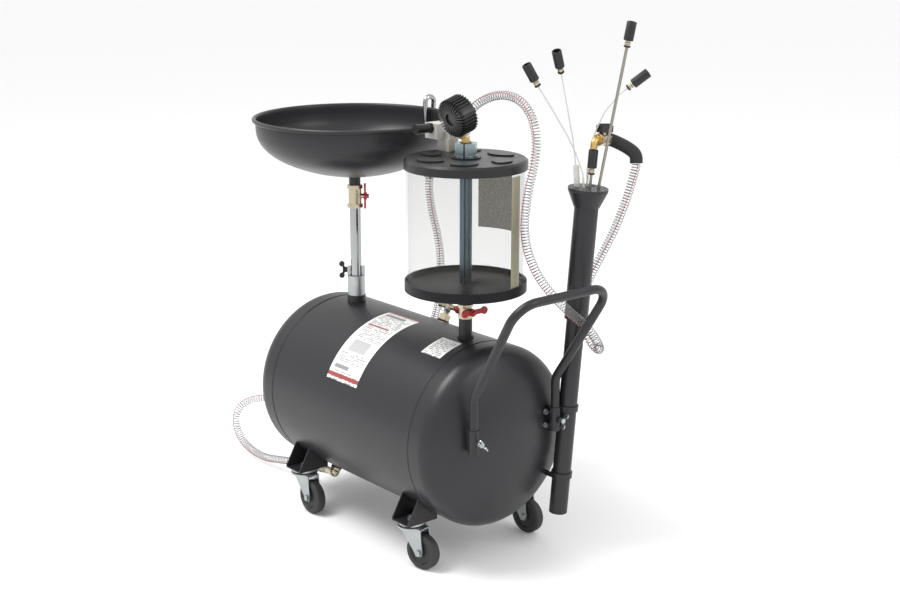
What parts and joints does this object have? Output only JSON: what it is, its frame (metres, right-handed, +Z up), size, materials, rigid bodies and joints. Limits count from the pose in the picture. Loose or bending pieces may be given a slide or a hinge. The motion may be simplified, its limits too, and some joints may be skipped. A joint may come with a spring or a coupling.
{
  "type": "mobile oil drainer",
  "caption": "Mobile oil drainer: tank on castors, sliding mast with drain bowl, clear vacuum chamber with gauge, probe tube, hoses and push handle.",
  "frame": {"origin": "on the floor under the middle of the object's box, measured without the two hoses", "axes": "+X along the tank towards the push handle, +Y across it to the storage tube's side, +Z up"},
  "size_m": [1.097, 0.4713, 1.0969],
  "materials": {
    "paint": "satin powder coat, dark charcoal",
    "zinc": "bright zinc plate",
    "blue_zinc": "blue zinc plate",
    "chrome": "bright chrome",
    "nickel": "nickel plated brass",
    "brass": "bare brass",
    "red_lever": "red powder coat",
    "black_plastic": "moulded, matt",
    "black_rubber": "matt rubber",
    "wheel_rubber": "hard rubber",
    "clear_wall": "clear acrylic",
    "clear_hose": "clear PVC with a steel spiral",
    "white_nylon": "natural nylon",
    "cast_zinc": "cast, tumbled"
  },
  "bodies": {
    "drainer": {"tank_shell": "paint", "tank_bungs": "paint", "drain_fitting": "nickel", "castor_brackets": "paint", "castor_top_plates": "zinc", "fasteners": "zinc", "handle_sockets": "paint", "storage_tube_lower": "paint", "storage_tube_upper": "paint", "storage_cap": "paint", "tube_clamps": "paint", "chamber_base": "black_plastic", "chamber_glass": "clear_wall", "chamber_lid": "black_plastic", "chamber_tie_tube": "blue_zinc", "chamber_nut": "zinc", "chamber_gaskets": "black_rubber", "drain_valve": "nickel", "gauge_case": "zinc", "gauge_boot": "black_rubber", "gauge_lens": "clear_wall", "gauge_nipple": "brass", "vacuum_block": "cast_zinc", "vacuum_silencer": "black_plastic", "air_inlet": "brass", "suction_elbow": "brass", "suction_hose": "clear_hose", "head_elbow": "brass", "head_valve": "nickel", "head_grip": "black_rubber", "nylon_probes": "white_nylon", "probe_couplers": "black_plastic", "working_probe": "chrome", "mast_sleeve": "zinc", "discharge_hose": "clear_hose", "air_tee": "nickel", "relief_valve": "zinc"},
    "fork_1": {"castor_fork_1": "zinc"},
    "wheel_1": {"castor_wheel_1": "wheel_rubber"},
    "fork_2": {"castor_fork_2": "zinc"},
    "wheel_2": {"castor_wheel_2": "wheel_rubber"},
    "fork_3": {"castor_fork_3": "zinc"},
    "wheel_3": {"castor_wheel_3": "wheel_rubber"},
    "fork_4": {"castor_fork_4": "zinc"},
    "wheel_4": {"castor_wheel_4": "wheel_rubber"},
    "handle": {"handle_tube": "paint"},
    "left_wing_screw": {"handle_screw_left": "zinc"},
    "right_wing_screw": {"handle_screw_right": "zinc"},
    "chamber_tap": {"drain_lever": "red_lever"},
    "needle": {"gauge_needle": "black_plastic"},
    "head_tap": {"head_lever": "black_plastic"},
    "loose_probe": {"steel_probe": "chrome", "steel_probe_coupler": "black_plastic"},
    "mast_wing_screw": {"mast_screw": "black_plastic"},
    "spout": {"discharge_spout": "chrome"},
    "mast": {"mast_tube": "chrome", "mast_valve": "nickel", "bowl": "paint"},
    "mast_tap": {"mast_lever": "red_lever"},
    "air_valve": {"air_knob": "red_lever"}
  },
  "joints": [
    {"name": "castor_swivel_1", "type": "hinge", "parent": "drainer", "child": "fork_1", "pos_m": [0.159, -0.165, 0.09], "axis": [0, 0, 1], "continuous": true},
    {"name": "castor_roll_1", "type": "hinge", "parent": "fork_1", "child": "wheel_1", "pos_m": [0.18834, -0.15876, 0.0375], "axis": [-0.2079, 0.9781, 0], "continuous": true},
    {"name": "castor_swivel_2", "type": "hinge", "parent": "drainer", "child": "fork_2", "pos_m": [0.159, 0.127, 0.09], "axis": [0, 0, 1], "continuous": true},
    {"name": "castor_roll_2", "type": "hinge", "parent": "fork_2", "child": "wheel_2", "pos_m": [0.18884, 0.13014, 0.0375], "axis": [-0.1045, 0.9945, 0], "continuous": true},
    {"name": "castor_swivel_3", "type": "hinge", "parent": "drainer", "child": "fork_3", "pos_m": [-0.224, -0.165, 0.09], "axis": [0, 0, 1], "continuous": true},
    {"name": "castor_roll_3", "type": "hinge", "parent": "fork_3", "child": "wheel_3", "pos_m": [-0.194, -0.165, 0.0375], "axis": [0, 1, 0], "continuous": true},
    {"name": "castor_swivel_4", "type": "hinge", "parent": "drainer", "child": "fork_4", "pos_m": [-0.224, 0.131, 0.09], "axis": [0, 0, 1], "continuous": true},
    {"name": "castor_roll_4", "type": "hinge", "parent": "fork_4", "child": "wheel_4", "pos_m": [-0.19489, 0.13826, 0.0375], "axis": [-0.2419, 0.9703, 0], "continuous": true},
    {"name": "handle_slide", "type": "slide", "parent": "drainer", "child": "handle", "axis": [0, 0, 1], "range_m": [0, 0.012]},
    {"name": "left_screw_turn", "type": "hinge", "parent": "drainer", "child": "left_wing_screw", "pos_m": [0.321, -0.126, 0.298], "axis": [1, 0, 0], "range_deg": [0, 360]},
    {"name": "right_screw_turn", "type": "hinge", "parent": "drainer", "child": "right_wing_screw", "pos_m": [0.321, 0.092, 0.298], "axis": [1, 0, 0], "range_deg": [0, 360]},
    {"name": "chamber_tap_turn", "type": "hinge", "parent": "drainer", "child": "chamber_tap", "pos_m": [0.153, -0.017, 0.512], "axis": [1, 0, 0], "range_deg": [-90, 0]},
    {"name": "needle_turn", "type": "hinge", "parent": "drainer", "child": "needle", "pos_m": [0.153, -0.037, 0.91], "axis": [0, 0.9511, 0.309], "range_deg": [0, 250]},
    {"name": "head_tap_turn", "type": "hinge", "parent": "drainer", "child": "head_tap", "pos_m": [0.3376, 0.17783, 0.86392], "axis": [-0.0127, 0.1037, 0.9945], "range_deg": [-90, 0]},
    {"name": "probe_lift", "type": "slide", "parent": "drainer", "child": "loose_probe", "axis": [0.1646, 0.0698, 0.9839], "range_m": [0, 0.2]},
    {"name": "mast_screw_turn", "type": "hinge", "parent": "drainer", "child": "mast_wing_screw", "pos_m": [-0.219, -0.017, 0.528], "axis": [-0.6428, -0.766, 0], "range_deg": [0, 360]},
    {"name": "mast_slide", "type": "slide", "parent": "drainer", "child": "spout", "axis": [0, 0, 1], "range_m": [-0.1, 0.2], "deforming": ["discharge_hose"]},
    {"name": "mast_spin", "type": "hinge", "parent": "spout", "child": "mast", "pos_m": [-0.219, -0.017, 0.7], "axis": [0, 0, 1], "continuous": true},
    {"name": "mast_tap_turn", "type": "hinge", "parent": "mast", "child": "mast_tap", "pos_m": [-0.219, -0.017, 0.693], "axis": [0.6428, 0.766, 0], "range_deg": [0, 90]},
    {"name": "air_knob_turn", "type": "hinge", "parent": "drainer", "child": "air_valve", "pos_m": [-0.004, 0.096, 0.46172], "axis": [1, 0, 0], "range_deg": [0, 360]}
  ]
}
